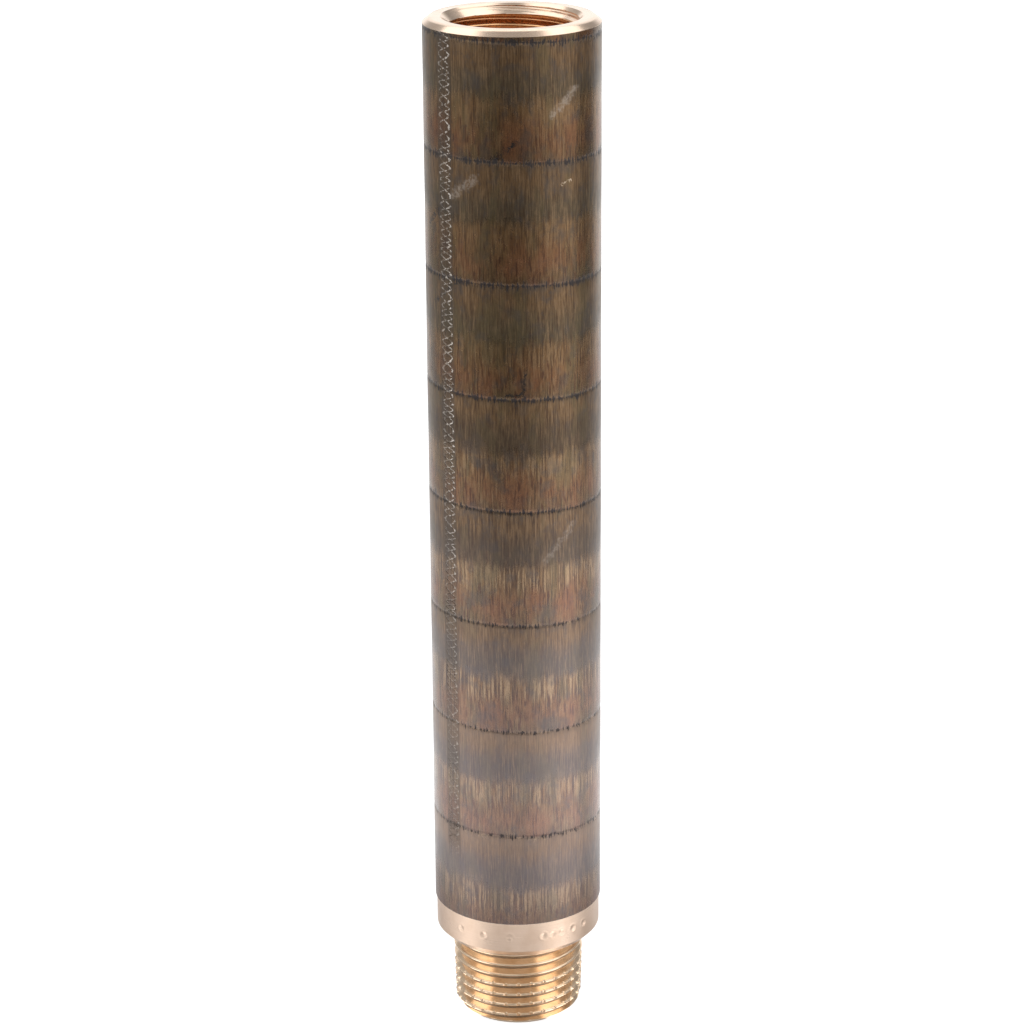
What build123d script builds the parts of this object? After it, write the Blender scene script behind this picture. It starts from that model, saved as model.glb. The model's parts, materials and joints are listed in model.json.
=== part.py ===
"""Male and female pipe nipple, 1/2 inch pipe thread, 150 mm long, turned from cast gunmetal bar.

Millimetres, +Z up.  The origin is the centre of the male end face, so the part stands on its
spigot and the threaded socket opens upwards.  The nipple is one piece of metal.  Its four nodes
are the stretches that the lathe leaves with a shape and finish of their own, and they meet face
to face.
"""

import os
from math import atan, cos, degrees, radians, sin, tan

from build123d import *

os.makedirs("parts", exist_ok=True)

# Bar and lengths
BAR_DIAMETER = 27.0
NOMINAL_LENGTH = 150.0  # socket face to the collar's underside
SPIGOT_LENGTH = 13.7
SPIGOT_END_CHAMFER = 1.1
COLLAR_DIAMETER = 26.5
COLLAR_HEIGHT = 6.1
COLLAR_EDGE_CHAMFER = 1.2
NECK_DIAMETER = 21.6  # the spigot's unthreaded neck, inside the collar
RIM_CHAMFER_HEIGHT = 0.8
RIM_CHAMFER_WIDTH = 1.1
WATERWAY_DIAMETER = 15.5
WATERWAY_END_CHAMFER = 0.5

# Socket: countersunk mouth, thread, tap run-out, plain tapping bore and the drill's cone
MOUTH_DIAMETER = 21.5
FULL_THREAD_DEPTH = 15.0
RUN_OUT_LENGTH = 3.0
TAPPING_BORE_DIAMETER = 18.5
TAPPING_BORE_DEPTH = 21.5
DRILL_POINT_ANGLE = 118.0
SOCKET_NODE_LENGTH = 28.0

# 1/2 inch pipe thread, Whitworth form: parallel in the socket, taper 1 in 16 on the spigot
PITCH = 25.4 / 14
HALF_FLANK_ANGLE = radians(27.5)
THREAD_HEIGHT = 0.640327 * PITCH
CREST_ROUNDING = 0.137329 * PITCH
GAUGE_DIAMETER = 20.955
GAUGE_LENGTH = 8.2
TAPER = 1 / 16
RIDGE_EMBED = 0.15  # how far a ridge reaches into the wall that it stands on
SPIGOT_TURNS = 11
SPIGOT_LEAD_TURNS = 2  # turns that start below the end face and are trimmed off
SPIGOT_CLOCK = 234  # where a crest crosses the end face, in degrees about the axis
SOCKET_TURNS = 13
SOCKET_LEAD_TURNS = 11  # turns below the socket face
SOCKET_CLOCK = 7  # where a crest crosses the socket face

# Radii
bar_radius = BAR_DIAMETER / 2
collar_radius = COLLAR_DIAMETER / 2
neck_radius = NECK_DIAMETER / 2
waterway_radius = WATERWAY_DIAMETER / 2
tapping_radius = TAPPING_BORE_DIAMETER / 2
mouth_radius = MOUTH_DIAMETER / 2
gauge_radius = GAUGE_DIAMETER / 2
taper_angle = degrees(atan(TAPER / 2))

# Levels along the axis
collar_underside = SPIGOT_LENGTH
barrel_start = collar_underside + COLLAR_HEIGHT
socket_face = collar_underside + NOMINAL_LENGTH
socket_start = socket_face - SOCKET_NODE_LENGTH
rim_start = socket_face - RIM_CHAMFER_HEIGHT
run_out_start = socket_face - FULL_THREAD_DEPTH
run_out_end = run_out_start - RUN_OUT_LENGTH
tapping_bore_end = socket_face - TAPPING_BORE_DEPTH
drill_cone_length = (tapping_radius - waterway_radius) / tan(radians(DRILL_POINT_ANGLE / 2))
drill_cone_end = tapping_bore_end - drill_cone_length


def spigot_crest(level):
    """Radius over the crests of the tapered thread, at a level above the male end face."""
    return gauge_radius + (level - GAUGE_LENGTH) * TAPER / 2


def spigot_root(level):
    """Radius at the roots of the tapered thread, at a level above the male end face."""
    return spigot_crest(level) - THREAD_HEIGHT


def thread_ridge(root, turns, side, cone_angle=0):
    """One thread ridge from z = 0 up: side 1 stands out of a shaft, side -1 into a hole.

    Straight flanks run from a rounded crest to a base a little inside the wall at the root radius.
    """
    rounding_width = CREST_ROUNDING * cos(HALF_FLANK_ANGLE)
    rounding_height = CREST_ROUNDING * (1 - sin(HALF_FLANK_ANGLE))
    flank_height = THREAD_HEIGHT - rounding_height + RIDGE_EMBED
    base_width = rounding_width + flank_height * tan(HALF_FLANK_ANGLE)
    crest = root + side * THREAD_HEIGHT
    shoulder = crest - side * rounding_height
    base = root - side * RIDGE_EMBED
    with BuildPart() as ridge:
        with BuildLine() as path:
            Helix(PITCH, turns * PITCH, root, cone_angle=cone_angle)
        with BuildSketch(Plane.XZ):
            with BuildLine():
                ThreePointArc((shoulder, rounding_width), (crest, 0), (shoulder, -rounding_width))
                Polyline(
                    (shoulder, -rounding_width),
                    (base, -base_width),
                    (base, base_width),
                    (shoulder, rounding_width),
                )
            make_face()
        sweep(path=path.line, is_frenet=True)
    return ridge.part


# Spigot: taper-threaded male end with a lead-in chamfer and a neck inside the collar, bored through.
# It is turned from a longer threaded stub, so that the thread is whole right up to the collar.
spigot_lead = SPIGOT_LEAD_TURNS * PITCH
spigot_ridge = thread_ridge(spigot_root(-spigot_lead), SPIGOT_TURNS, 1, taper_angle)
spigot_ridge = spigot_ridge.rotate(Axis.Z, SPIGOT_CLOCK).translate((0, 0, -spigot_lead))
stub_start = -spigot_lead - PITCH
stub_end = stub_start + (SPIGOT_TURNS + 2) * PITCH
end_face_radius = spigot_crest(0) - SPIGOT_END_CHAMFER
lathe_clearance = 2 * THREAD_HEIGHT

with BuildPart() as threaded_spigot:
    with BuildSketch(Plane.XZ):
        with BuildLine():
            Polyline(
                (0, stub_start),
                (spigot_root(stub_start), stub_start),
                (spigot_root(stub_end), stub_end),
                (0, stub_end),
                close=True,
            )
        make_face()
    revolve(axis=Axis.Z)
    add(spigot_ridge)
    with BuildSketch(Plane.XZ):
        with BuildLine():
            Polyline(
                (waterway_radius + WATERWAY_END_CHAMFER, 0),
                (end_face_radius, 0),
                (end_face_radius + lathe_clearance, lathe_clearance),
                (end_face_radius + lathe_clearance, SPIGOT_LENGTH),
                (waterway_radius, SPIGOT_LENGTH),
                (waterway_radius, WATERWAY_END_CHAMFER),
                close=True,
            )
        make_face()
    revolve(axis=Axis.Z, mode=Mode.INTERSECT)
    with BuildSketch(Plane.XY.offset(collar_underside)):
        Circle(neck_radius)
        Circle(waterway_radius, mode=Mode.SUBTRACT)
    extrude(amount=COLLAR_HEIGHT)

# Collar: smooth turned band round the neck, which butts against the fitting
with BuildPart() as turned_collar:
    with BuildSketch(Plane.XY.offset(collar_underside)):
        Circle(collar_radius)
    extrude(amount=COLLAR_HEIGHT)
    lower_edge = turned_collar.edges().filter_by(GeomType.CIRCLE).group_by(Axis.Z)[0]
    chamfer(lower_edge, COLLAR_EDGE_CHAMFER)
    with Locations((0, 0, collar_underside)):
        Hole(neck_radius)

# Barrel: the bar's as-cast skin outside, the waterway inside
with BuildPart() as cast_barrel:
    with BuildSketch(Plane.XY.offset(barrel_start)):
        Circle(bar_radius)
        Circle(waterway_radius, mode=Mode.SUBTRACT)
    extrude(amount=socket_start - barrel_start)

# Socket: chamfered rim, countersunk mouth and parallel thread above the drill's cone.  It too is
# turned from a longer threaded tube.
socket_lead = SOCKET_LEAD_TURNS * PITCH
socket_ridge = thread_ridge(gauge_radius, SOCKET_TURNS, -1)
socket_ridge = socket_ridge.rotate(Axis.Z, SOCKET_CLOCK).translate((0, 0, socket_face - socket_lead))
tube_end = socket_face + (SOCKET_TURNS - SOCKET_LEAD_TURNS + 1) * PITCH

with BuildPart() as threaded_socket:
    with BuildSketch(Plane.XZ):
        with BuildLine():
            Polyline(
                (waterway_radius, socket_start),
                (bar_radius, socket_start),
                (bar_radius, tube_end),
                (gauge_radius, tube_end),
                (gauge_radius, run_out_start),
                (tapping_radius, run_out_end),
                (tapping_radius, tapping_bore_end),
                (waterway_radius, drill_cone_end),
                close=True,
            )
        make_face()
    revolve(axis=Axis.Z)
    add(socket_ridge)
    with BuildSketch(Plane.XZ):
        with BuildLine():
            Polyline(
                (0, socket_start),
                (bar_radius, socket_start),
                (bar_radius, rim_start),
                (bar_radius - RIM_CHAMFER_WIDTH, socket_face),
                (mouth_radius, socket_face),
                (0, socket_face - mouth_radius),
                close=True,
            )
        make_face()
    revolve(axis=Axis.Z, mode=Mode.INTERSECT)

nodes = {
    "threaded_socket": threaded_socket,
    "cast_barrel": cast_barrel,
    "turned_collar": turned_collar,
    "threaded_spigot": threaded_spigot,
}
for node_name, builder in nodes.items():
    builder.part.label = node_name
    export_step(builder.part, f"parts/{node_name}.step")
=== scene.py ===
"""Studio scene of a 1/2 inch male and female pipe nipple, turned from continuous-cast gunmetal bar.

Lengths are metres unless a name says otherwise; procedural materials work in millimetres.
Azimuths are measured about +Z from the front, -Y, towards +X.  Each visible piece is one closed
ring of metal that stands for one CAD node.  Its section is a closed loop of bands: outer wall,
end faces and bore.
"""

import json
from math import cos, pi, radians, sin, tan

import bpy
import numpy as np
from mathutils import Euler, Matrix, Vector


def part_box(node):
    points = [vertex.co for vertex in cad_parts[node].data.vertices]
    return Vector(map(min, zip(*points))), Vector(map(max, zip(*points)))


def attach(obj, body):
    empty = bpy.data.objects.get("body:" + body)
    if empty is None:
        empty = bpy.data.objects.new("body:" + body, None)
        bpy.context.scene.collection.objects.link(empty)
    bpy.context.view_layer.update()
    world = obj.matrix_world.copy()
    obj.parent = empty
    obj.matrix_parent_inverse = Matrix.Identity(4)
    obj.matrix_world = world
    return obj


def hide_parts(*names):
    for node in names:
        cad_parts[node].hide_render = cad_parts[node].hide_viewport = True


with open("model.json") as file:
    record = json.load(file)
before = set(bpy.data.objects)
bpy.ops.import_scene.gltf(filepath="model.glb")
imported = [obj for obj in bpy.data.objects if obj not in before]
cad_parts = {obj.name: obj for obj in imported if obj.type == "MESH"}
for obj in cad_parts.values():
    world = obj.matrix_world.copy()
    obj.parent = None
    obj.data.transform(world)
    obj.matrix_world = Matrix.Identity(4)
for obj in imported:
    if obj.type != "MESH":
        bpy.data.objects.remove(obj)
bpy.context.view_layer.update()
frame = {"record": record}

MM = 0.001
TURN = 2 * pi

# Levels and radii from the CAD model
spigot_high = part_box("threaded_spigot")[1]
collar_low, collar_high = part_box("turned_collar")
barrel_low, barrel_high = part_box("cast_barrel")
socket_low, socket_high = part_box("threaded_socket")
mounts = {mount["name"]: mount for mount in frame["record"]["mounts"]}
BAR_RADIUS = barrel_high.x
COLLAR_RADIUS = collar_high.x
NECK_RADIUS = spigot_high.x
WATERWAY_RADIUS = mounts["waterway"]["dims"]["r_mm"] * MM
TAPPING_RADIUS = mounts["socket_thread"]["dims"]["r_mm"] * MM
COLLAR_UNDERSIDE = collar_low.z
BARREL_START = barrel_low.z
SOCKET_START = socket_low.z
SOCKET_FACE = socket_high.z

# Turned edges
RIM_CHAMFER_HEIGHT = 0.8 * MM
RIM_CHAMFER_WIDTH = 1.1 * MM
RIM_START = SOCKET_FACE - RIM_CHAMFER_HEIGHT
MOUTH_RADIUS = 10.75 * MM
COUNTERSINK_DEPTH = 1.45 * MM  # where the rim's finish ends
COLLAR_CHAMFER = 1.2 * MM
SPIGOT_CHAMFER = 1.1 * MM
WATERWAY_CHAMFER = 0.5 * MM

# 1/2 inch pipe thread, Whitworth form
PITCH = 25.4 / 14 * MM
FLANK = radians(27.5)
THREAD_HEIGHT = 0.640327 * PITCH
ROUNDING = 0.137329 * PITCH
GAUGE_RADIUS = 10.4775 * MM
GAUGE_LENGTH = 8.2 * MM
TAPER = 1 / 16
FULL_THREAD_DEPTH = 15.0 * MM
RUN_OUT_LENGTH = 3.0 * MM
TAPPING_DEPTH = 21.5 * MM
HALF_DRILL_POINT = radians(59)
SOCKET_CLOCK = radians(97)
SPIGOT_CLOCK = radians(-36)

# Notches rolled across the crests near the spigot's end, which hold the hemp
NOTCHES = 31
NOTCHED_LENGTH = 8.6 * MM
NOTCHES_FADE = 1.2 * MM
FIRST_NOTCH = 0.9 * MM
NOTCH_RUN_IN = 0.4 * MM
NOTCH_HALF_WIDTH = 0.27 * MM
NOTCH_DEPTH = 0.30 * MM
NOTCH_BURR = 0.09 * MM
BURRED_DEPTH = 0.25 * MM  # below the crest

# Round punch marks on the collar
PUNCH_AZIMUTHS = (-44, -25, -6, 18, 25, 32, 42, 53)
PUNCH_LEVEL = 17.4 * MM
PUNCH_RADIUS = 0.62 * MM
PUNCH_DEPTH = 0.10 * MM
PUNCH_BURR = 0.022 * MM
FEED = 0.32 * MM  # the lathe tool's advance per turn on the collar
FEED_DEPTH = 0.004 * MM

# Cast skin: the rings that each withdrawal stroke of the caster leaves, and a roller's track
RING_PITCH = 18.15 * MM
FIRST_RING = 162.15 * MM
RING_TILT = 0.45 * MM
STROKE_CYCLE = 3
STROKE_PHASE = 0.7
STROKE_CHANGE = 0.3 * MM
STROKE_BIAS = -0.1 * MM
RING_DEPTH = 0.05 * MM
RING_HALF_WIDTH = 0.35 * MM
SWELL_DEPTH = 0.02 * MM  # of the skin, half way between two rings
WAVE_DEPTH = 0.012 * MM
WAVE_LENGTHS = (9 * MM, 23 * MM)
TRACK_AZIMUTH = radians(-49)
TRACK_HALF_WIDTH = 1.6 * MM
TRACK_SWING = 1.1 * MM
TRACK_PERIOD = 2.3 * MM
TRACK_DEPTH = 0.085 * MM
TRACK_STROKE = 0.17 * MM
TRACK_END = 29.0 * MM
TRACK_ENDING = 4.0 * MM
TRACK_FADING = (7 * MM, 3.1 * MM)
TRACK_WANDER = ((0.83 * MM, 0.10), (1.9 * MM, 0.13), (5.3 * MM, 0.2))

# Fineness of the meshes
SKIN_COLUMNS = 360
SKIN_ROW = 0.1 * MM
PLAIN_SKIN_STEP = 15  # rows of skin per row away from the rings and the track
RING_SKIN_STEP = 2  # rows of skin per row across a ring
NOTCH_COLUMNS = 8  # across a notch
NOTCH_GAP_COLUMNS = 8  # between two notches
TRACK_COLUMNS = 29
TRACK_CLEARANCE = radians(0.3)
COLLAR_COLUMNS = 720
COLLAR_ROW = 0.1 * MM
SPIGOT_CHAMFER_ROW = 0.06 * MM
SPIGOT_THREAD_ROWS = 155
COUNTERSINK_ROW = 0.065 * MM
COUNTERSINK_ROWS_TO = 1.6 * MM
SOCKET_THREAD_ROWS = 132
SOCKET_THREAD_ROWS_TO = FULL_THREAD_DEPTH + RUN_OUT_LENGTH
BELOW_THREAD_ROWS = 0.2 * MM
SHARP_EDGE = radians(40)


# ---------------------------------------------------------------- mesh


def thread_depth(offset):
    """Depth below the crest at an axial offset from a crest's middle, rounded at crest and root."""
    offset = np.abs((offset + PITCH / 2) % PITCH - PITCH / 2)
    rounding_width = ROUNDING * cos(FLANK)
    rounding_height = ROUNDING * (1 - sin(FLANK))
    to_root = PITCH / 2 - offset
    crest = ROUNDING - np.sqrt(np.maximum(ROUNDING**2 - offset**2, 0))
    root = THREAD_HEIGHT - ROUNDING + np.sqrt(np.maximum(ROUNDING**2 - to_root**2, 0))
    flank = rounding_height + (offset - rounding_width) / tan(FLANK)
    depth = np.where(offset < rounding_width, crest, flank)
    return np.where(to_root < rounding_width, root, depth)


def bell(distance, half_width):
    """Smooth hump: 1 in the middle, 0 from half_width outwards."""
    return np.cos(np.clip(np.abs(distance) / half_width, 0, 1) * pi) / 2 + 0.5


def surface_distance(angles, azimuth, radius):
    """Distance round the surface from an azimuth, positive towards +X at the front."""
    return ((angles - azimuth + pi) % TURN - pi) * radius


def stroke_count(angles, z):
    """Withdrawal strokes below the first ring; a ring lies where this is a whole number."""
    level = z + RING_TILT * np.sin(angles)
    even = (FIRST_RING - level) / RING_PITCH
    change = STROKE_CHANGE * np.cos(TURN * (even - STROKE_PHASE) / STROKE_CYCLE)
    return even + (change + STROKE_BIAS) / RING_PITCH


def skin_relief(angles, z):
    """Height of the cast skin above the bar's nominal radius: never above it."""
    count = stroke_count(angles, z)
    to_ring = (count - np.round(count)) * RING_PITCH
    rings = RING_DEPTH * bell(to_ring, RING_HALF_WIDTH)
    swell = SWELL_DEPTH * (1 - np.cos(TURN * count)) / 2
    short, long = WAVE_LENGTHS
    waves = WAVE_DEPTH * (np.sin(3 * angles + z / short) * np.sin(2 * angles - z / long) + 1)
    across = surface_distance(angles, TRACK_AZIMUTH, BAR_RADIUS)
    phase = z / TRACK_PERIOD
    for beat, amount in TRACK_WANDER:
        phase = phase + amount * np.sin(z / beat)
    swing = TRACK_SWING * np.sin(TURN * phase)
    pressed = np.maximum(bell(across - swing, TRACK_STROKE), bell(across + swing, TRACK_STROKE))
    slow, quick = TRACK_FADING
    fading = 0.65 + 0.35 * np.sin(z / slow) * np.sin(z / quick)
    ending = np.clip((z - TRACK_END) / TRACK_ENDING, 0, 1)
    return -(rings + swell + waves + TRACK_DEPTH * pressed * fading * ending)


def spaced(start, end, step):
    """Evenly spaced values from start up to, but not at, end."""
    count = max(1, round(abs(end - start) / step))
    return np.linspace(start, end, count + 1)[:-1]


def skin_rows(start, end):
    """Row heights up a stretch of skin, and which of them only the roller's track needs."""
    rows = np.append(spaced(start, end, SKIN_ROW), end)
    count = stroke_count(0, rows)
    near_ring = np.abs(count - np.round(count)) * RING_PITCH < RING_HALF_WIDTH + RING_TILT
    number = np.arange(len(rows))
    coarse = (number % PLAIN_SKIN_STEP == 0) | (near_ring & (number % RING_SKIN_STEP == 0))
    coarse[-1] = True
    return rows, ~coarse


def skin_angles():
    """Column angles round the bar, with a fine strip where the roller's track runs."""
    even = even_angles(SKIN_COLUMNS) - pi
    half = TRACK_HALF_WIDTH / BAR_RADIUS
    outside = even[np.abs(even - TRACK_AZIMUTH) > half + TRACK_CLEARANCE]
    strip = np.linspace(TRACK_AZIMUTH - half, TRACK_AZIMUTH + half, TRACK_COLUMNS)
    angles = np.sort(np.concatenate([outside, strip]))
    return angles, np.abs(angles - TRACK_AZIMUTH) <= half + TRACK_CLEARANCE / 2


def skin_band(angles, heights):
    """Rows of the skin's relief, as a band of material 0."""
    z = heights[:, None] + 0 * angles
    return BAR_RADIUS + skin_relief(angles, z), z, [0] * len(heights)


def even_angles(columns):
    """Evenly spaced column angles round the whole axis."""
    return np.arange(columns) * TURN / columns


def band(points, angles, material):
    """Rows of a turned band through (radius, height) points, without its last row."""
    radius = np.array([point[0] for point in points[:-1]])[:, None] + 0 * angles
    height = np.array([point[1] for point in points[:-1]])[:, None] + 0 * angles
    return radius, height, [material] * (len(points) - 1)


def straight(start, end, rows, angles, material):
    """Rows of a cone, cylinder or flat ring between two circles, without its last row."""
    steps = np.linspace(0, 1, rows + 1)
    points = [
        (start[0] + (end[0] - start[0]) * t, start[1] + (end[1] - start[1]) * t) for t in steps
    ]
    return band(points, angles, material)


def ring_faces(number, fine_columns, fine_rows, row_material):
    """Faces of a closed ring grid; rows marked fine exist only in the columns marked fine."""
    rows, columns = number.shape
    shared = [k for k in range(rows) if not fine_rows[k]]
    everything = list(range(rows))
    faces = []
    face_materials = []
    for j in range(columns):
        n = (j + 1) % columns
        both_fine = fine_columns[j] and fine_columns[n]
        kept = everything if both_fine else shared
        for k, row in enumerate(kept):
            above = kept[(k + 1) % len(kept)]
            between = range(row + 1, above)
            left = [number[row, j]]
            right = [number[row, n]]
            if fine_columns[j] and not both_fine:
                left += [number[i, j] for i in between]
            if fine_columns[n] and not both_fine:
                right += [number[i, n] for i in between]
            left.append(number[above, j])
            right.append(number[above, n])
            faces.append([int(v) for v in right + left[::-1]])
            face_materials.append(row_material[row])
    return faces, face_materials


def ring_piece(name, angles, bands, materials, node, fine_columns=None, fine_rows=None):
    """One closed ring mesh from bands stacked round its section, standing for one CAD node.

    A band is (radii, heights, index into the materials of each row).
    """
    radius = np.vstack([b[0] for b in bands])
    height = np.vstack([b[1] for b in bands])
    row_material = [m for b in bands for m in b[2]]
    rows, columns = radius.shape
    if fine_columns is None:
        fine_columns = np.zeros(columns, bool)
    thin = np.zeros(rows, bool)
    if fine_rows is not None:
        thin[: len(fine_rows)] = fine_rows
    exists = ~thin[:, None] | fine_columns[None, :]
    number = np.cumsum(exists.ravel()).reshape(rows, columns) - 1
    points = np.stack([radius * np.sin(angles), -radius * np.cos(angles), height], axis=-1)
    faces, face_materials = ring_faces(number, fine_columns, thin, row_material)
    mesh = bpy.data.meshes.new(name)
    mesh.from_pydata(points[exists].tolist(), [], faces)
    for material in materials:
        mesh.materials.append(material)
    mesh.polygons.foreach_set("material_index", face_materials)
    mesh.polygons.foreach_set("use_smooth", [True] * len(faces))
    mesh.set_sharp_from_angle(angle=SHARP_EDGE)
    mesh.validate()
    piece = bpy.data.objects.new(name, mesh)
    bpy.context.scene.collection.objects.link(piece)
    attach(piece, "root")
    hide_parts(node)


# ---------------------------------------------------------------- materials


class Graph:
    """The nodes of one material or world, built by short calls that take and give sockets."""

    def __init__(self, owner):
        """Start on an existing world, or on a new material of the given name."""
        if isinstance(owner, str):
            owner = bpy.data.materials.new(owner)
        owner.use_nodes = True
        self.owner = owner
        self.tree = owner.node_tree
        self.shader = self.tree.nodes.get("Principled BSDF") or self.tree.nodes["Background"]

    def node(self, kind, **settings):
        """A new node with these settings."""
        node = self.tree.nodes.new(kind)
        for key, value in settings.items():
            setattr(node, key, value)
        return node

    def feed(self, socket, value):
        """Link a socket to an input, or set the input's own value."""
        if isinstance(value, bpy.types.NodeSocket):
            self.tree.links.new(value, socket)
        elif isinstance(value, tuple) and len(value) == 3 and socket.type == "RGBA":
            socket.default_value = (*value, 1)
        else:
            socket.default_value = value

    def set(self, name, value):
        """Link or set an input of the shader."""
        self.feed(self.shader.inputs[name], value)

    def math(self, operation, *values):
        """Arithmetic on numbers."""
        node = self.node("ShaderNodeMath", operation=operation)
        for socket, value in zip(node.inputs, values):
            self.feed(socket, value)
        return node.outputs[0]

    def vector_math(self, operation, *values, output="Vector"):
        """Arithmetic on vectors."""
        node = self.node("ShaderNodeVectorMath", operation=operation)
        for socket, value in zip(node.inputs, values):
            self.feed(socket, value)
        return node.outputs[output]

    def add(self, a, b):
        return self.math("ADD", a, b)

    def times(self, a, b):
        return self.math("MULTIPLY", a, b)

    def spread(self, value, amount):
        """A 0 to 1 value turned into an offset of up to half the amount either way."""
        return self.math("MULTIPLY_ADD", value, amount, -amount / 2)

    def step(self, value, start, end, low=0.0, high=1.0):
        """Smooth change from low at start to high at end."""
        node = self.node("ShaderNodeMapRange", interpolation_type="SMOOTHSTEP")
        for socket, given in zip(node.inputs, (value, start, end, low, high)):
            self.feed(socket, given)
        return node.outputs[0]

    def between(self, value, start, end, soft):
        """1 between two limits and 0 outside them, with soft edges."""
        return self.times(
            self.step(value, start - soft, start + soft), self.step(value, end + soft, end - soft)
        )

    def length(self, a, b):
        """Length of the diagonal of two sides."""
        return self.math("SQRT", self.add(self.times(a, a), self.times(b, b)))

    def vector(self, x, y, z):
        """Three numbers joined into one vector."""
        node = self.node("ShaderNodeCombineXYZ")
        for socket, value in zip(node.inputs, (x, y, z)):
            self.feed(socket, value)
        return node.outputs[0]

    def noise(self, vector, scale, detail=2.0, roughness=0.5, output=0):
        """Noise from 0 to 1, or with output "Color" three of them as one vector."""
        node = self.node("ShaderNodeTexNoise")
        self.feed(node.inputs["Vector"], vector)
        self.feed(node.inputs["Scale"], scale)
        self.feed(node.inputs["Detail"], detail)
        self.feed(node.inputs["Roughness"], roughness)
        return node.outputs[output]

    def mix(self, factor, a, b, blend="MIX"):
        """Colour a at factor 0 and b at factor 1, or another blend of the two."""
        node = self.node("ShaderNodeMix", data_type="RGBA", blend_type=blend)
        self.feed(node.inputs[0], factor)
        self.feed(node.inputs[6], a)
        self.feed(node.inputs[7], b)
        return node.outputs[2]

    def ramp(self, value, stops):
        """Colour ramp through (position, colour) stops."""
        node = self.node("ShaderNodeValToRGB")
        elements = node.color_ramp.elements
        for element, (position, colour) in zip(elements, (stops[0], stops[-1])):
            element.position = position
            element.color = (*colour, 1)
        for position, colour in stops[1:-1]:
            elements.new(position).color = (*colour, 1)
        self.feed(node.inputs[0], value)
        return node.outputs[0]

    def bump(self, height, distance):
        """Normal from a 0 to 1 height that stands for this distance in metres."""
        node = self.node("ShaderNodeBump")
        self.feed(node.inputs["Height"], height)
        self.feed(node.inputs["Distance"], distance)
        self.feed(self.shader.inputs["Normal"], node.outputs[0])

    def millimetres(self):
        """Object coordinates in millimetres, whole and split, and the azimuth in radians."""
        here = self.node("ShaderNodeTexCoord").outputs["Object"]
        scaled = self.vector_math("MULTIPLY", here, (1 / MM, 1 / MM, 1 / MM))
        split = self.node("ShaderNodeSeparateXYZ")
        self.feed(split.inputs[0], scaled)
        x, y, z = split.outputs
        return scaled, x, y, z, self.azimuth_of(x, y)

    def azimuth_of(self, x, y):
        """Azimuth about +Z from -Y towards +X, in radians."""
        return self.math("ARCTAN2", x, self.times(y, -1.0))


# Scene-linear colours of the skin and of the marks on it, two of them partly painted light, and of
# the painted shade in the spigot's thread roots
BELOW_RING = (0.192, 0.125, 0.070)
BROWN = (0.191, 0.112, 0.052)
GREY_OLIVE = (0.118, 0.087, 0.050)
ORANGE_BROWN = (0.252, 0.139, 0.059)
RED_BROWN = (0.239, 0.117, 0.054)
OLIVE = (0.144, 0.115, 0.056)
BLUE_GREY = (0.150, 0.142, 0.156)
RUST = (0.285, 0.112, 0.052)
TAN = (0.44, 0.30, 0.17)
DARK_STREAK = (0.071, 0.040, 0.023)
LIGHT_STREAK = (0.325, 0.208, 0.114)
DASH = (0.105, 0.046, 0.026)
PIT = (0.09, 0.07, 0.055)
STAIN = (0.085, 0.076, 0.070)
RING_LINE = (0.028, 0.026, 0.030)
PALE_RUB = (0.42, 0.35, 0.29)
DARK_SCRATCH = (0.045, 0.038, 0.036)
LIGHT_NICK = (0.70, 0.55, 0.40)
TRACK_DARK = (0.085, 0.068, 0.055)
# Burnished metal, paler than the bare metal: partly a painted glint
TRACK_BRIGHT = (0.92, 0.84, 0.76)
BARE_METAL = (0.82, 0.66, 0.52)
# Partly weathered skin, partly painted light from the floor, low on the bar
WEATHER_AND_FLOOR_LIGHT = (0.30, 0.255, 0.275)
# Painted shade that darkens the thread's roots
ROOT_SHADE = (0.20, 0.12, 0.07)

SKIN_METALLIC = 0.68
SKIN_BUMP = 0.02 * MM
FEATHERING = 1.6  # mm, of the edges of scratches and rubs
# Painted shade: depths below the crests over which the spigot's thread roots are darkened
ROOT_SHADE_DEPTHS = (0.98, 1.12)  # mm below the spigot's crests
MARKS_PER_MM = 9.0  # of the lathe tool on the turned metals
METAL_ANISOTROPY = 0.6

# Colours down one stroke, from 0 just below a ring to 1 just above the next
STROKE_COLOURS = [
    (0.0, BELOW_RING),
    (0.07, BROWN),
    (0.16, BROWN),
    (0.33, GREY_OLIVE),
    (0.44, GREY_OLIVE),
    (0.53, ORANGE_BROWN),
    (0.68, ORANGE_BROWN),
    (0.84, RED_BROWN),
    (0.94, BROWN),
    (1.0, BELOW_RING),
]

# Places within a stroke where something starts and where it is whole, or between which it shows
COMB_PLACES = (0.47, 0.52)
DASH_PLACES = (0.55, 0.72)
PALE_PLACES = (0.34, 0.04)
GLOSS_PLACES = (0.30, 0.55)
DARK_BAND_PLACES = (0.20, 0.50)  # between which they show
BLUE_BAND_PLACES = (0.18, 0.50)  # between which they show

# Distances in mm from the middle of a line, or from a turned edge, where something starts and
# where it is whole
RING_LINE_EDGE = (0.40, 0.05)
RING_HALO_EDGE = (1.3, 0.1)
TRACK_STROKE_EDGE = (0.27, 0.08)
TRACK_STRIP_EDGE = (1.75, 1.35)
BARE_COLLAR_EDGE = (0.12, 0.02)
BARE_RIM_EDGE = (0.08, 0.0)

# How far noise moves an edge, from end to end: in mm, and the last three in strokes
STROKE_WAVER = 0.7
RING_SERRATION = 2.6
TRACK_RAGGEDNESS = 0.8
BARE_RAGGEDNESS = 0.10
TEETH_RAGGEDNESS = 0.20
PATCH_RAGGEDNESS = 0.16
TEETH_END_SPREAD = 0.24
TEETH_END = 0.62  # the place within a stroke of the shortest teeth's end

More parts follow.
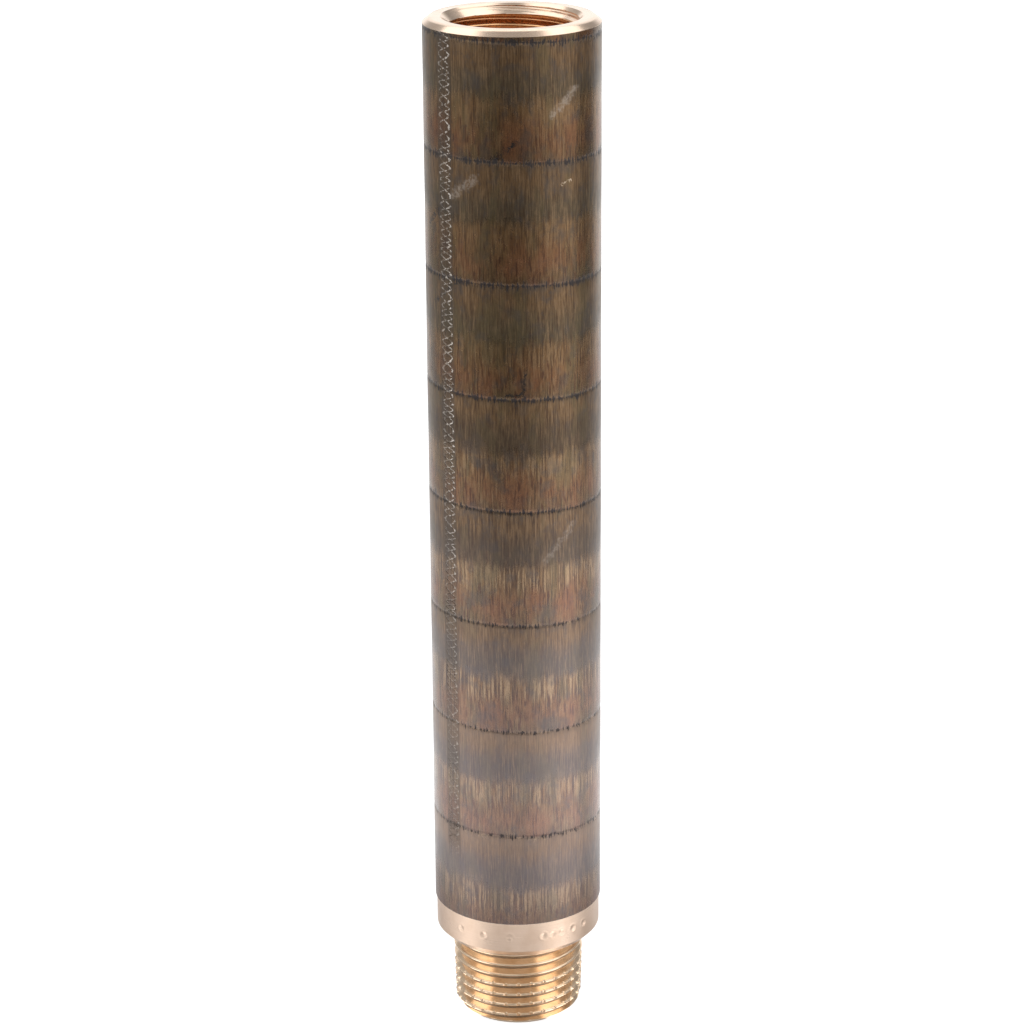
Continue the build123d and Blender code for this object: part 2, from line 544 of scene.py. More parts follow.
# Noises of the skin: squeeze along the bar, scale per mm, detail, roughness
TEETH = (0.02, 2.0, 3.0, 0.7)
PATCHES = (0.7, 0.13, 3.0, 0.55)
COMB = (0.03, 3.0, 0.5, 0.5)
STREAKS = (0.06, 4.6, 2.0, 0.75)
MOTTLE = (0.55, 0.55, 5.0, 0.7)
TINT = (0.35, 0.26, 3.0, 0.6)
DASHES = (0.13, 3.0, 1.0, 0.5)
GRAIN = (0.6, 3.4, 2.0, 0.6)
STAINS = (1.0, 0.21, 3.0, 0.6)
SERRATION = (0.14, 3.6, 1.0, 0.6)
SCUFFS = (1.0, 1.9, 3.0, 0.7)

# Heights in mm where something starts and where it is whole, or between which it shows
COMB_HEIGHTS = (130.0, 60.0)
STREAK_HEIGHTS = (150.0, 95.0)
DARKENING_HEIGHTS = (70.0, 105.0)
DARK_BAND_HEIGHTS = (72.0, 110.0)  # between which they show
PALE_BAND_HEIGHTS = (80.0, 55.0)
BLUE_BAND_HEIGHTS = (90.0, 60.0)
WEATHER_AND_FLOOR_LIGHT_HEIGHTS = (112.0, 30.0)
THIN_RING_HEIGHTS = (115.0, 60.0)
BRIGHT_TRACK_HEIGHTS = (50.0, 115.0)

# Start and end as (azimuth degrees, height mm), half width mm, strength, colour
MARKS = [
    ((26, 151.0), (43, 154.6), 0.55, 0.55, PALE_RUB),
    ((-43, 138.5), (-25, 141.6), 0.60, 0.55, PALE_RUB),
    ((20, 81.5), (41, 86.8), 0.45, 0.30, PALE_RUB),
    ((-16, 144.1), (2, 147.2), 0.36, 1.0, DARK_SCRATCH),
    ((-70, 133.2), (-52, 136.6), 0.36, 1.0, DARK_SCRATCH),
    ((-62, 121.5), (-38, 125.4), 0.28, 1.0, DARK_SCRATCH),
    ((6, 108.6), (7, 112.0), 0.28, 1.0, DARK_SCRATCH),
    ((-6, 108.4), (6, 108.6), 0.26, 1.0, DARK_SCRATCH),
    ((33, 140.6), (40, 140.9), 0.09, 0.85, LIGHT_NICK),
]


class SkinGraph(Graph):
    """Dark oxide skin with a stroke ring every 18 mm, streaks along the bar and a roller's track.

    Each layer is painted over those before it, so the order of the calls matters.
    """

    def __init__(self):
        super().__init__("cast_skin")
        self.here, self.x, self.y, self.z, self.azimuth = self.millimetres()
        self.around = self.vector(self.x, self.y, 0.0)
        self.bar_mm = BAR_RADIUS / MM
        self.count = self.strokes()
        self.teeth = self.drawn_noise(TEETH)
        self.fine = self.drawn_noise(STREAKS)
        self.grain = self.drawn_noise(GRAIN)
        self.scuffs = self.drawn_noise(SCUFFS)
        # Place within a stroke, 0 just below its ring: exact, and with the pattern's ragged edges
        self.strict_place = self.math("FRACT", self.count)
        patches = self.drawn_noise(PATCHES)
        ragged = self.add(
            self.spread(self.teeth, TEETH_RAGGEDNESS), self.spread(patches, PATCH_RAGGEDNESS)
        )
        self.place = self.math("FRACT", self.add(self.count, ragged))
        self.dash_zone = self.step(self.strict_place, *DASH_PLACES)
        self.colour = self.ramp(self.place, STROKE_COLOURS)

    def drawn_noise(self, settings):
        """One of the noises listed above."""
        squeeze, scale, detail, roughness = settings
        drawn = self.vector_math("MULTIPLY", self.here, (1, 1, squeeze))
        return self.noise(drawn, scale, detail, roughness)

    def paint(self, amount, shade):
        """Cover the colour so far with this much of a shade."""
        self.colour = self.mix(amount, self.colour, shade)

    def strokes(self):
        """Strokes since the first ring, as in stroke_count, with a wavering edge."""
        waver = self.spread(self.noise(self.around, 0.35), STROKE_WAVER)
        tilt = self.times(self.x, RING_TILT / BAR_RADIUS)
        level = self.add(self.add(self.z, tilt), waver)
        even = self.math("MULTIPLY_ADD", level, -MM / RING_PITCH, FIRST_RING / RING_PITCH)
        beat = TURN / STROKE_CYCLE
        cycle = self.math("COSINE", self.math("MULTIPLY_ADD", even, beat, -beat * STROKE_PHASE))
        change = self.math(
            "MULTIPLY_ADD", cycle, STROKE_CHANGE / RING_PITCH, STROKE_BIAS / RING_PITCH
        )
        return self.add(even, change)

    def comb(self):
        """Bare tan teeth under the grey band, strongest low on the bar."""
        comb = self.drawn_noise(COMB)
        end = self.math("MULTIPLY_ADD", self.teeth, TEETH_END_SPREAD, TEETH_END)
        fade = self.step(self.math("SUBTRACT", end, self.strict_place), 0.0, 0.10)
        zone = self.times(self.step(self.place, *COMB_PLACES), fade)
        zone = self.times(zone, self.step(self.z, *COMB_HEIGHTS, 0.25, 0.95))
        self.paint(self.times(self.step(comb, 0.48, 0.57), zone), TAN)
        self.paint(self.times(self.step(comb, 0.47, 0.39, 0.0, 0.75), zone), DARK_STREAK)

    def streaks(self):
        """Fine streaks along the bar."""
        drawn = self.step(self.z, *STREAK_HEIGHTS, 0.85, 1.0)
        self.paint(self.times(self.step(self.fine, 0.53, 0.34, 0.0, 0.90), drawn), DARK_STREAK)
        self.paint(self.times(self.step(self.fine, 0.50, 0.68, 0.0, 0.70), drawn), LIGHT_STREAK)

    def stains(self):
        """Mottling, olive and rusty tints, short dark dashes above each ring, pits and stains."""
        mottle = self.drawn_noise(MOTTLE)
        self.paint(self.step(mottle, 0.50, 0.32, 0.0, 0.55), STAIN)
        self.paint(self.step(mottle, 0.52, 0.70, 0.0, 0.30), LIGHT_STREAK)
        tint = self.drawn_noise(TINT)
        self.paint(self.step(tint, 0.50, 0.36, 0.0, 0.45), OLIVE)
        self.paint(self.times(self.step(tint, 0.48, 0.66, 0.0, 0.45), self.dash_zone), RUST)
        dash = self.drawn_noise(DASHES)
        self.paint(self.times(self.step(dash, 0.58, 0.70, 0.0, 0.85), self.dash_zone), DASH)
        self.paint(self.step(self.grain, 0.56, 0.74, 0.0, 0.45), PIT)
        self.paint(self.step(self.drawn_noise(STAINS), 0.54, 0.70, 0.0, 0.5), STAIN)

    def weather_and_painted_light(self):
        """Changes up the bar: paler low down, partly weathered skin and partly painted light from
        the floor; dark bands half way, darker on top.
        """
        self.paint(self.step(self.z, *DARKENING_HEIGHTS, 0.0, 0.20), DARK_STREAK)
        grey = self.between(self.place, *DARK_BAND_PLACES, 0.06)
        middle = self.between(self.z, *DARK_BAND_HEIGHTS, 9.0)
        self.paint(self.times(self.times(grey, middle), 0.32), DARK_STREAK)
        blue = self.between(self.place, *BLUE_BAND_PLACES, 0.08)
        low = self.step(self.z, *BLUE_BAND_HEIGHTS)
        self.paint(self.times(self.times(blue, low), 0.26), BLUE_GREY)
        pale = self.step(self.strict_place, *PALE_PLACES)
        lower = self.step(self.z, *PALE_BAND_HEIGHTS)
        self.paint(self.times(self.times(pale, lower), 0.36), LIGHT_STREAK)
        # Paler, greyer skin low on the bar: partly weathered, partly painted light from the floor.
        self.paint(self.step(self.z, *WEATHER_AND_FLOOR_LIGHT_HEIGHTS, 0.0, 0.30), WEATHER_AND_FLOOR_LIGHT)

    def ring_lines(self):
        """Dark lines with a serrated edge, thinner low on the bar.  Returns where they are."""
        from_line = self.times(self.math("PINGPONG", self.count, 0.5), RING_PITCH / MM)
        serrated = self.add(from_line, self.spread(self.drawn_noise(SERRATION), RING_SERRATION))
        serrated = self.add(serrated, self.step(self.z, *THIN_RING_HEIGHTS, 0.0, 0.22))
        line = self.step(serrated, *RING_LINE_EDGE)
        halo = self.step(from_line, *RING_HALO_EDGE, 0.0, 0.12)
        self.paint(self.math("MAXIMUM", self.times(line, 0.86), halo), RING_LINE)
        return line

    def line_mask(self, flat, start, end, half_width, soft):
        """1 near a straight scratch between two (azimuth degrees, height mm) ends."""
        first = (radians(start[0]) * self.bar_mm, start[1], 0)
        last = (radians(end[0]) * self.bar_mm, end[1], 0)
        run = (last[0] - first[0], last[1] - first[1], 0)
        length_squared = run[0] ** 2 + run[1] ** 2
        per_length = (run[0] / length_squared, run[1] / length_squared, 0)
        offset = self.vector_math("SUBTRACT", flat, first)
        along = self.node("ShaderNodeClamp")
        dot = self.vector_math("DOT_PRODUCT", offset, per_length, output="Value")
        self.feed(along.inputs[0], dot)
        nearest = self.vector_math("MULTIPLY", run, along.outputs[0])
        away = self.vector_math("DISTANCE", offset, nearest, output="Value")
        return self.step(away, half_width + soft, half_width)

    def scratches(self):
        """Scratches and rubs with broken, feathered edges."""
        flat = self.vector(self.times(self.azimuth, self.bar_mm), self.z, 0.0)
        scatter = self.noise(self.here, 1.3, output="Color")
        reach = (FEATHERING, FEATHERING, 0.0)
        middle = (FEATHERING / 2, FEATHERING / 2, 0.0)
        feathered = self.vector_math("MULTIPLY_ADD", scatter, reach, flat)
        feathered = self.vector_math("SUBTRACT", feathered, middle)
        scuffed = self.step(self.scuffs, 0.42, 0.60)
        broken = self.math("MULTIPLY_ADD", scuffed, 0.75, 0.25)
        for start, end, half_width, strength, shade in MARKS:
            mark = self.line_mask(feathered, start, end, 0.3 * half_width, 1.5 * half_width)
            self.paint(self.times(self.times(mark, broken), strength), shade)

    def roller_track(self):
        """Two crossing strokes of burnished metal on a dark strip, with a painted highlight on one
        side of the track.  Returns the burnished and highlighted part.
        """
        across = self.math(
            "MULTIPLY_ADD", self.azimuth, self.bar_mm, -TRACK_AZIMUTH * self.bar_mm
        )
        phase = self.times(self.z, MM / TRACK_PERIOD)
        for beat, amount in TRACK_WANDER:
            wander = self.math("SINE", self.times(self.z, MM / beat))
            phase = self.add(phase, self.times(wander, amount))
        swing = self.times(self.math("SINE", self.times(phase, TURN)), TRACK_SWING / MM)
        off_first = self.math("ABSOLUTE", self.math("SUBTRACT", across, swing))
        off_second = self.math("ABSOLUTE", self.add(across, swing))
        off_stroke = self.math("MINIMUM", off_first, off_second)
        ragged = self.spread(self.noise(self.here, 2.2, 2.0, 0.6), TRACK_RAGGEDNESS)
        stroke = self.step(self.add(off_stroke, ragged), *TRACK_STROKE_EDGE)
        strip = self.step(self.math("ABSOLUTE", across), *TRACK_STRIP_EDGE)
        strip = self.times(strip, self.step(self.z, TRACK_END / MM, TRACK_END / MM + 5))
        bright = self.step(self.z, *BRIGHT_TRACK_HEIGHTS, 0.25, 1.0)
        # Painted highlight and shade: the strokes are painted darker on one side of the track and
        # lighter on the other, as the light falls.
        bright = self.times(bright, self.step(across, -1.3, 0.9, 0.35, 1.0))
        rubbed = self.step(self.scuffs, 0.44, 0.58)
        burnish_and_painted_highlight = self.times(self.times(self.times(stroke, strip), rubbed), bright)
        self.paint(self.times(strip, 0.50), TRACK_DARK)
        self.paint(self.times(burnish_and_painted_highlight, 0.85), TRACK_BRIGHT)
        return burnish_and_painted_highlight

    def bare_edges(self):
        """Bare metal where the tool cut into the skin beside the collar and the rim chamfer."""
        ragged = self.spread(self.noise(self.around, 1.4, 3.0, 0.7), BARE_RAGGEDNESS)
        above_collar = self.math("SUBTRACT", self.add(self.z, ragged), BARREL_START / MM)
        below_rim = self.math("SUBTRACT", RIM_START / MM, self.add(self.z, self.times(ragged, 0.6)))
        low = self.step(above_collar, *BARE_COLLAR_EDGE)
        high = self.step(below_rim, *BARE_RIM_EDGE)
        bare = self.math("MAXIMUM", low, high)
        self.paint(bare, BARE_METAL)
        return bare


def cast_skin_material():
    """The skin's layers, and how metallic, rough and uneven they are."""
    graph = SkinGraph()
    graph.comb()
    graph.streaks()
    graph.stains()
    graph.weather_and_painted_light()
    line = graph.ring_lines()
    graph.scratches()
    burnish_and_painted_highlight = graph.roller_track()
    bare = graph.bare_edges()
    graph.set("Base Color", graph.colour)
    metal = graph.math("MAXIMUM", graph.times(burnish_and_painted_highlight, 0.95), bare)
    graph.set("Metallic", graph.math("MAXIMUM", metal, SKIN_METALLIC))
    uneven = graph.spread(graph.noise(graph.here, 0.8, 4.0), 0.16)
    gloss = graph.add(graph.step(graph.place, *GLOSS_PLACES, 0.34, 0.25), uneven)
    graph.set("Roughness", graph.add(gloss, graph.times(line, 0.12)))
    pitted = graph.add(graph.times(graph.grain, 0.5), graph.times(line, -0.6))
    graph.bump(graph.add(graph.times(graph.fine, 0.5), pitted), SKIN_BUMP)
    return graph.owner


def turned_metal_material(name, colour, tarnish, roughness, mark_depth, threaded=False):
    """Freshly cut gunmetal: fine turning marks round the axis, faint tarnish, painted shade in
    thread roots.
    """
    graph = Graph(name)
    here, x, y, z, azimuth = graph.millimetres()
    radius = graph.length(x, y)
    sine = graph.math("SINE", azimuth)
    cosine = graph.math("COSINE", azimuth)
    marks = graph.node("ShaderNodeTexNoise", noise_dimensions="4D")
    graph.feed(
        marks.inputs["Vector"], graph.vector(sine, cosine, graph.times(radius, MARKS_PER_MM))
    )
    graph.feed(marks.inputs["W"], graph.times(z, MARKS_PER_MM))
    graph.feed(marks.inputs["Scale"], 1.0)
    graph.feed(marks.inputs["Detail"], 2.0)
    turning = marks.outputs[0]
    blotches = graph.noise(here, 0.35, 3.0, 0.6)
    tone = graph.mix(graph.step(blotches, 0.40, 0.72, 0.0, 0.8), colour, tarnish)
    tone = graph.mix(graph.step(turning, 0.35, 0.75, 0.0, 0.35), tone, tarnish)
    if threaded:
        # Painted shade: the thread's roots are darkened, as where shade falls between the crests.
        end_crest = (GAUGE_RADIUS - GAUGE_LENGTH * TAPER / 2) / MM
        crest = graph.math("MULTIPLY_ADD", z, TAPER / 2, end_crest)
        root = graph.step(graph.math("SUBTRACT", crest, radius), *ROOT_SHADE_DEPTHS)
        tone = graph.mix(graph.times(root, 0.75), tone, ROOT_SHADE)
    graph.set("Base Color", tone)
    graph.set("Metallic", 1.0)
    uneven = graph.add(graph.spread(blotches, 0.08), roughness)
    graph.set("Roughness", graph.add(graph.spread(turning, 0.10), uneven))
    graph.set("Anisotropic", METAL_ANISOTROPY)
    graph.set("Anisotropic Rotation", 0.25)
    round_the_axis = graph.node("ShaderNodeTangent", direction_type="RADIAL", axis="Z")
    graph.set("Tangent", round_the_axis.outputs[0])
    graph.bump(turning, mark_depth)
    return graph.owner


# ---------------------------------------------------------------- pieces


def spigot_angles():
    """Column angles round the spigot, crowded where the notches are."""
    gap = TURN / NOTCHES
    half = 1.5 * NOTCH_HALF_WIDTH / GAUGE_RADIUS
    near = np.linspace(-half, half, NOTCH_COLUMNS)
    far = np.linspace(half, gap - half, NOTCH_GAP_COLUMNS + 2)[1:-1]
    one = np.concatenate([near, far])
    return np.concatenate([one + gap * k for k in range(NOTCHES)])


def notched(crest, outer, angles, z):
    """Cut the notches and raise their burrs, on the crests near the end of the spigot."""
    gap = TURN / NOTCHES
    aside = ((angles + gap / 2) % gap - gap / 2) * GAUGE_RADIUS
    floor = crest - NOTCH_DEPTH * bell(aside, NOTCH_HALF_WIDTH)
    shoulder = bell(np.abs(aside) - 1.1 * NOTCH_HALF_WIDTH, 0.5 * NOTCH_HALF_WIDTH)
    on_crest = np.clip(1 - (crest - outer) / BURRED_DEPTH, 0, 1)
    above_first = np.clip((z - FIRST_NOTCH) / NOTCH_RUN_IN, 0, 1)
    below_last = np.clip((NOTCHED_LENGTH - z) / NOTCHES_FADE, 0, 1)
    cut = np.minimum(outer, floor) + NOTCH_BURR * shoulder * on_crest
    return outer + (cut - outer) * above_first * below_last


def spigot_piece(cut_thread):
    """Taper thread with its notches, lead-in chamfer and waterway, and the neck in the collar."""
    angles = spigot_angles()
    heights = np.append(
        spaced(0, SPIGOT_CHAMFER, SPIGOT_CHAMFER_ROW),
        np.linspace(SPIGOT_CHAMFER, COLLAR_UNDERSIDE, SPIGOT_THREAD_ROWS),
    )
    z = heights[:, None] + 0 * angles
    crest = GAUGE_RADIUS + (z - GAUGE_LENGTH) * TAPER / 2
    thread = crest - thread_depth(z - PITCH * (angles - SPIGOT_CLOCK) / TURN)
    thread = notched(crest, thread, angles, z)
    end_radius = GAUGE_RADIUS - GAUGE_LENGTH * TAPER / 2 - SPIGOT_CHAMFER
    outer = np.minimum(thread, end_radius + z)
    inside = [
        (NECK_RADIUS, COLLAR_UNDERSIDE),
        (NECK_RADIUS, BARREL_START),
        (WATERWAY_RADIUS, BARREL_START),
        (WATERWAY_RADIUS, 0.5 * BARREL_START),
        (WATERWAY_RADIUS, WATERWAY_CHAMFER),
        (WATERWAY_RADIUS + WATERWAY_CHAMFER, 0),
        (end_radius, 0),
    ]
    bands = [(outer, z, [0] * len(heights)), band(inside, angles, 0)]
    ring_piece("spigot", angles, bands, [cut_thread], "threaded_spigot")


def punch_relief(angles, z):
    """Round dimples with a low burr, spaced along the collar."""
    relief = 0 * z
    for azimuth in PUNCH_AZIMUTHS:
        across = surface_distance(angles, radians(azimuth), COLLAR_RADIUS)
        away = np.hypot(across, z - PUNCH_LEVEL)
        relief = relief - PUNCH_DEPTH * bell(away, PUNCH_RADIUS)
        relief = relief + PUNCH_BURR * bell(away - 1.15 * PUNCH_RADIUS, 0.45 * PUNCH_RADIUS)
    return relief


def collar_piece(turned_metal):
    """Band with feed marks and punch marks, chamfered below."""
    angles = even_angles(COLLAR_COLUMNS)
    heights = spaced(COLLAR_UNDERSIDE + COLLAR_CHAMFER, BARREL_START, COLLAR_ROW)
    z = heights[:, None] + 0 * angles
    feed_marks = FEED_DEPTH * np.sin(TURN * z / FEED)
    wall = COLLAR_RADIUS - FEED_DEPTH + feed_marks + punch_relief(angles, z)
    underside = straight(
        (NECK_RADIUS, COLLAR_UNDERSIDE),
        (COLLAR_RADIUS - COLLAR_CHAMFER, COLLAR_UNDERSIDE),
        6,
        angles,
        0,
    )
    chamfer = straight(
        (COLLAR_RADIUS - COLLAR_CHAMFER, COLLAR_UNDERSIDE),
        (COLLAR_RADIUS, COLLAR_UNDERSIDE + COLLAR_CHAMFER),
        2,
        angles,
        0,
    )
    top = [
        (COLLAR_RADIUS, BARREL_START),
        (NECK_RADIUS, BARREL_START),
        (NECK_RADIUS, COLLAR_UNDERSIDE),
    ]
    bands = [underside, chamfer, (wall, z, [0] * len(heights)), band(top, angles, 0)]
    ring_piece("collar", angles, bands, [turned_metal], "turned_collar")


def barrel_piece(cast_skin, shaded_bore_metal):
    """Cast skin outside and the waterway inside."""
    angles, track = skin_angles()
    heights, thin = skin_rows(BARREL_START, SOCKET_START)
    bands = [
        skin_band(angles, heights),
        straight((WATERWAY_RADIUS, SOCKET_START), (WATERWAY_RADIUS, BARREL_START), 12, angles, 1),
        straight((WATERWAY_RADIUS, BARREL_START), (BAR_RADIUS, BARREL_START), 1, angles, 1),
    ]
    ring_piece(
        "barrel", angles, bands, [cast_skin, shaded_bore_metal], "cast_barrel", track, thin
    )


def socket_bore(angles):
    """Countersink, parallel thread and tap run-out, from the face downwards."""
    depths = np.append(
        spaced(0, COUNTERSINK_ROWS_TO, COUNTERSINK_ROW),
        np.linspace(COUNTERSINK_ROWS_TO, SOCKET_THREAD_ROWS_TO, SOCKET_THREAD_ROWS),
    )
    depth = depths[:, None] + 0 * angles
    run_out = np.clip((depth - FULL_THREAD_DEPTH) / RUN_OUT_LENGTH, 0, 1)
    root_limit = GAUGE_RADIUS - run_out * (GAUGE_RADIUS - TAPPING_RADIUS)
    offset = -depth - PITCH * (angles - SOCKET_CLOCK) / TURN
    thread = GAUGE_RADIUS - THREAD_HEIGHT + thread_depth(offset)
    inner = np.maximum(np.minimum(thread, root_limit), MOUTH_RADIUS - depth)
    metals = [1 if d < COUNTERSINK_DEPTH else 2 for d in depths]
    return inner, SOCKET_FACE - depth, metals


def socket_piece(cast_skin, rim_metal, shaded_bore_metal):
    """Skin, rim, countersunk thread, tapping bore and the drill's cone."""
    angles, track = skin_angles()
    heights, thin = skin_rows(SOCKET_START, RIM_START)
    rim_edge = (BAR_RADIUS - RIM_CHAMFER_WIDTH, SOCKET_FACE)
    bore_end = SOCKET_FACE - TAPPING_DEPTH
    cone_end = bore_end - (TAPPING_RADIUS - WATERWAY_RADIUS) / tan(HALF_DRILL_POINT)
    lower_bore = [
        (TAPPING_RADIUS, SOCKET_FACE - SOCKET_THREAD_ROWS_TO - BELOW_THREAD_ROWS),
        (TAPPING_RADIUS, bore_end),
        (WATERWAY_RADIUS, cone_end),
        (WATERWAY_RADIUS, SOCKET_START),
        (BAR_RADIUS, SOCKET_START),
    ]
    bands = [
        skin_band(angles, heights),
        straight((BAR_RADIUS, RIM_START), rim_edge, 3, angles, 1),
        straight(rim_edge, (MOUTH_RADIUS, SOCKET_FACE), 3, angles, 1),
        socket_bore(angles),
        band(lower_bore, angles, 2),
    ]
    metals = [cast_skin, rim_metal, shaded_bore_metal]
    ring_piece("socket", angles, bands, metals, "threaded_socket", track, thin)


skin = cast_skin_material()
# Clean colour, tarnished colour, roughness and depth of the turning marks
thread_metal = turned_metal_material(
    "cut_thread", (0.87, 0.67, 0.48), (0.76, 0.54, 0.35), 0.19, 0.0025 * MM, threaded=True
)
# Painted shade: the bore's gunmetal is a darker, more orange copy of the cut metal, as where shade
# falls deep inside the bore.
shaded_bore_metal = turned_metal_material(
    "shaded_bore_metal", (0.80, 0.47, 0.25), (0.66, 0.36, 0.18), 0.22, 0.002 * MM
)
collar_metal = turned_metal_material(
    "turned_metal", (0.84, 0.64, 0.50), (0.76, 0.56, 0.42), 0.30, 0.003 * MM
)
rim_metal = turned_metal_material(
    "rim_metal", (0.86, 0.67, 0.52), (0.80, 0.60, 0.45), 0.21, 0.002 * MM
)
spigot_piece(thread_metal)
collar_piece(collar_metal)
barrel_piece(skin, shaded_bore_metal)
socket_piece(skin, rim_metal, shaded_bore_metal)


# ---------------------------------------------------------------- studio


TENT_RADIUS = 0.36
TENT_HEIGHT = 0.5
TENT_CENTRE_Y = 0.07
TENT_FOOT = 0.5 * MM
TENT_COLUMNS = 144
CLOTH_CHANGE = (135.0, 165.0)  # mm, from the low cloth to the high cloth
FLOOR_RADIUS = 3.0
FLOOR_COLUMNS = 96
FLOOR_COLOUR = (0.40, 0.40, 0.41)
FLOOR_SEEN = 0.85  # glow of the floor to the camera
FOOT_FLOOR_EDGE = (27.0, 34.0)  # mm from the axis
COLLAR_FLOOR_EDGE = (56.0, 70.0)
SKY_SEEN = 1.0
FRONT_LIGHT = 0.55
SIDE_LIGHT = 1.7
FRONT_EDGE = (radians(30), radians(70))
CEILING_LIGHT = 0.40
CEILING_SHIFT = 0.15  # towards the back
CEILING_EDGE = (0.29, 0.35)


def stage_piece(name, points, faces, material):
    """A piece of the studio, not of the object."""
    mesh = bpy.data.meshes.new(name)
    mesh.from_pydata(points, [], faces)
    mesh.materials.append(material)
    piece = bpy.data.objects.new(name, mesh)
    bpy.context.scene.collection.objects.link(piece)
    return piece


# How bright the studio is by azimuth in degrees.  First the lower cloth: dark in front, with a black
# card on the right.
CLOTH_LEVELS = [
    (-180, 0.95),
    (-145, 0.95),
    (-140, 0.50),
    (-95, 0.42),
    (-65, 0.50),
    (-42, 0.22),
    (-20, 0.03),
    (8, 0.05),
    (28, 0.38),
    (60, 1.02),
    (88, 1.06),
    (90.5, 0.20),
    (112, 0.12),
    (128, 0.36),
    (131, 1.25),
    (155, 1.25),
    (180, 0.95),
]
# The floor in front of that cloth
FLOOR_LEVELS = [
    (-180, 0.18),
    (-150, 0.20),
    (-120, 0.10),
    (-95, 0.34),
    (-65, 0.50),
    (-42, 0.26),
    (-20, 0.05),
    (8, 0.05),
    (28, 0.34),
    (60, 0.80),
    (88, 0.72),
    (91, 0.12),
    (120, 0.06),
    (131, 0.18),
    (180, 0.18),
]
# The cloth's upper half
HIGH_LEVELS = [
    (-180, 1.20),
    (-162, 1.20),
    (-154, 0.40),
    (-125, 0.60),
    (-90, 1.30),
    (-40, 1.25),
    (0, 0.75),
    (40, 1.25),
    (90, 1.30),
    (125, 0.60),
    (152, 0.25),
    (162, 1.20),
    (180, 1.20),
]
# Further glow of that floor by distance from the axis in mm
FLOOR_GLOW = [(42, 0.38), (75, 0.90), (110, 0.80), (190, 0.52), (300, 0.42)]
FLOOR_GLOW_SPAN = 400.0  # mm that its ramp covers
# The floor nearer in, which the collar reflects
COLLAR_FLOOR_LEVELS = [
    (-180, 0.45),
    (-126, 0.20),
    (-112, 0.24),
    (-98, 0.36),
    (-84, 0.50),
    (-63, 0.70),
    (-42, 0.32),
    (-28, 0.18),
    (0, 0.32),
    (14, 0.28),
    (28, 0.30),
    (42, 0.52),
    (56, 0.68),
    (70, 0.50),
    (84, 0.20),
    (98, 0.13),
    (127, 0.30),
    (180, 0.45),
]
# The floor round the foot, which the thread reflects
FOOT_LEVELS = [
    (-180, 0.90),
    (-135, 0.90),
    (-125, 0.08),
    (-82, 0.08),
    (-75, 1.85),
    (-47, 1.85),
    (-40, 0.28),
    (27, 0.28),
    (34, 1.85),
    (62, 1.85),
    (70, 0.08),
    (125, 0.08),
    (135, 0.90),
    (180, 0.90),
]


def grey(level):
    """The grey colour of a brightness."""
    return (level,) * 3


def round_the_tent(graph, azimuth, levels):
    """Brightness by azimuth, from (degrees, level) pairs."""
    turn = graph.math("MULTIPLY_ADD", azimuth, 1 / TURN, 0.5)
    return graph.ramp(turn, [(degrees / 360 + 0.5, grey(level)) for degrees, level in levels])


def floor_disc():
    """Pale table top that glows as a lit table does: evenly to the camera, unevenly to the metal."""
    graph = Graph("floor_paint")
    graph.set("Base Color", FLOOR_COLOUR)
    graph.set("Roughness", 0.8)
    x, y, _, azimuth = graph.millimetres()[1:]
    reach = graph.length(x, y)
    stops = [(r / FLOOR_GLOW_SPAN, grey(level)) for r, level in FLOOR_GLOW]
    glow = graph.ramp(graph.times(reach, 1 / FLOOR_GLOW_SPAN), stops)
    far = graph.mix(1.0, glow, round_the_tent(graph, azimuth, FLOOR_LEVELS), "ADD")
    beside = round_the_tent(graph, azimuth, COLLAR_FLOOR_LEVELS)
    foot = round_the_tent(graph, azimuth, FOOT_LEVELS)
    lit = graph.mix(graph.step(reach, *FOOT_FLOOR_EDGE), foot, beside)
    lit = graph.mix(graph.step(reach, *COLLAR_FLOOR_EDGE), lit, far)
    seen = graph.node("ShaderNodeLightPath").outputs["Is Camera Ray"]
    graph.set("Emission Color", graph.mix(seen, lit, grey(FLOOR_SEEN)))
    graph.set("Emission Strength", 1.0)
    rim = [(FLOOR_RADIUS * sin(a), -FLOOR_RADIUS * cos(a), 0) for a in even_angles(FLOOR_COLUMNS)]
    stage_piece("floor", rim, [list(range(len(rim)))], graph.owner)


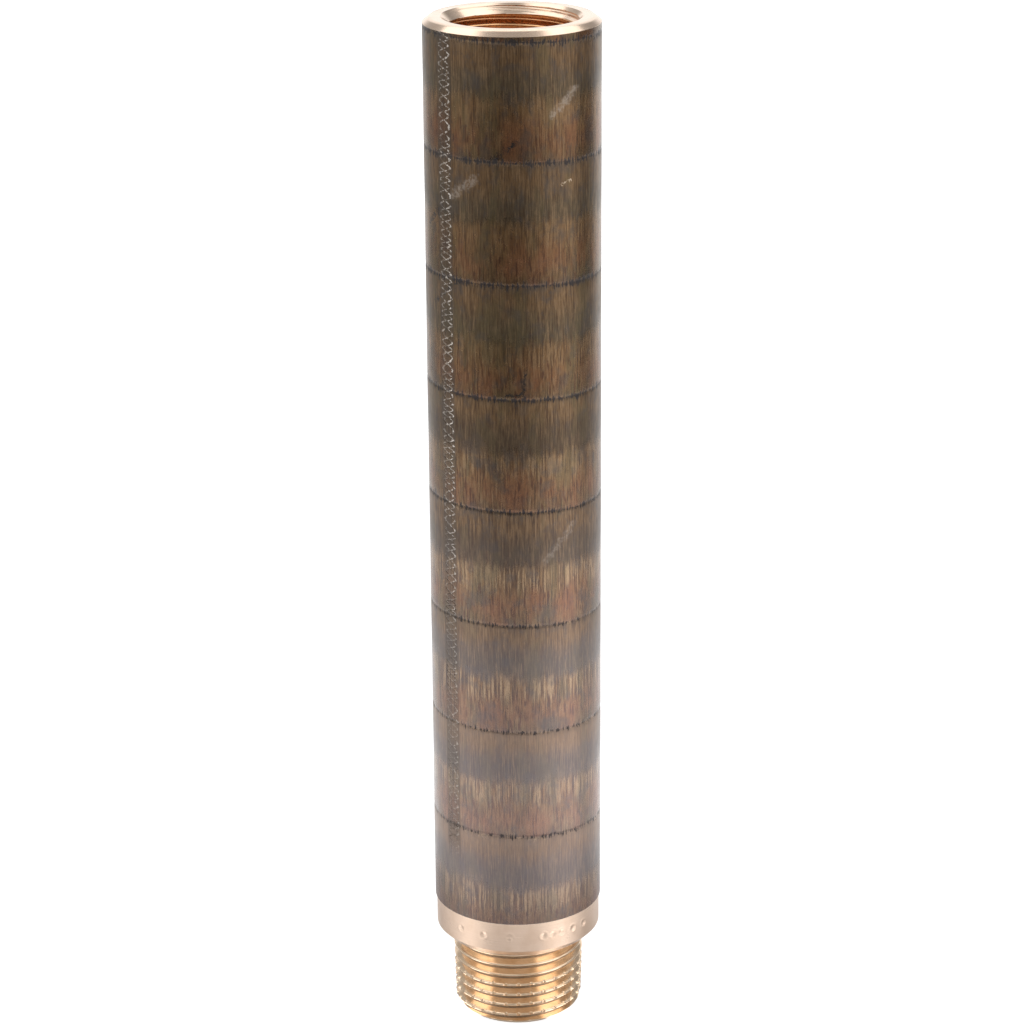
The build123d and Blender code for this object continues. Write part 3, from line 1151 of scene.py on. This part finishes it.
def light_tent():
    """Round tent of lit cloth, which the object reflects and the camera looks through."""
    graph = Graph("tent_cloth")
    height, azimuth = graph.millimetres()[3:]
    low_cloth = round_the_tent(graph, azimuth, CLOTH_LEVELS)
    high_cloth = round_the_tent(graph, azimuth, HIGH_LEVELS)
    cloth = graph.mix(graph.step(height, *CLOTH_CHANGE), low_cloth, high_cloth)
    graph.set("Base Color", (0.0, 0.0, 0.0))
    graph.set("Specular IOR Level", 0.0)
    graph.set("Emission Color", cloth)
    graph.set("Emission Strength", 1.0)
    points = []
    for level in (TENT_FOOT, TENT_HEIGHT):
        points += [
            (TENT_RADIUS * sin(a), TENT_CENTRE_Y - TENT_RADIUS * cos(a), level)
            for a in even_angles(TENT_COLUMNS)
        ]
    faces = []
    for column in range(TENT_COLUMNS):
        following = (column + 1) % TENT_COLUMNS
        faces.append([column, following, following + TENT_COLUMNS, column + TENT_COLUMNS])
    tent = stage_piece("light_tent", points, faces, graph.owner)
    tent.visible_camera = False


def studio_world():
    """White to the camera.  To everything else bright walls under a small dim ceiling."""
    world = bpy.data.worlds.new("studio")
    bpy.context.scene.world = world
    sky = Graph(world)
    here = sky.node("ShaderNodeTexCoord").outputs["Generated"]
    split = sky.node("ShaderNodeSeparateXYZ")
    sky.feed(split.inputs[0], here)
    x, y, _ = split.outputs
    aside = sky.math("ABSOLUTE", sky.azimuth_of(x, y))
    walls = sky.step(aside, *FRONT_EDGE, FRONT_LIGHT, SIDE_LIGHT)
    from_middle = sky.length(x, sky.add(y, -CEILING_SHIFT))
    room = sky.mix(sky.step(from_middle, *CEILING_EDGE), grey(CEILING_LIGHT), walls)
    seen = sky.node("ShaderNodeLightPath").outputs["Is Camera Ray"]
    sky.set("Color", sky.mix(seen, room, grey(SKY_SEEN)))


CAMERA_PLACE = (0, -0.4703, 0.2480)
CAMERA_PITCH = radians(19.096)
CAMERA_ROLL = radians(-0.4)
CAMERA_LENS = 111.12
CAMERA_SENSOR = 36
CAMERA_SHIFT = -0.0032


def studio_camera():
    """Camera in front of the object, looking a little down on it."""
    data = bpy.data.cameras.new("camera")
    camera = bpy.data.objects.new("camera", data)
    bpy.context.scene.collection.objects.link(camera)
    bpy.context.scene.camera = camera
    data.sensor_width = CAMERA_SENSOR
    data.lens = CAMERA_LENS
    data.shift_x = CAMERA_SHIFT
    data.clip_start = 10 * MM
    camera.location = CAMERA_PLACE
    level = Euler((pi / 2 - CAMERA_PITCH, 0, 0)).to_matrix()
    camera.rotation_euler = (level @ Matrix.Rotation(CAMERA_ROLL, 3, "Z")).to_euler()


floor_disc()
light_tent()
studio_world()
studio_camera()
bpy.context.scene.view_settings.view_transform = "Standard"
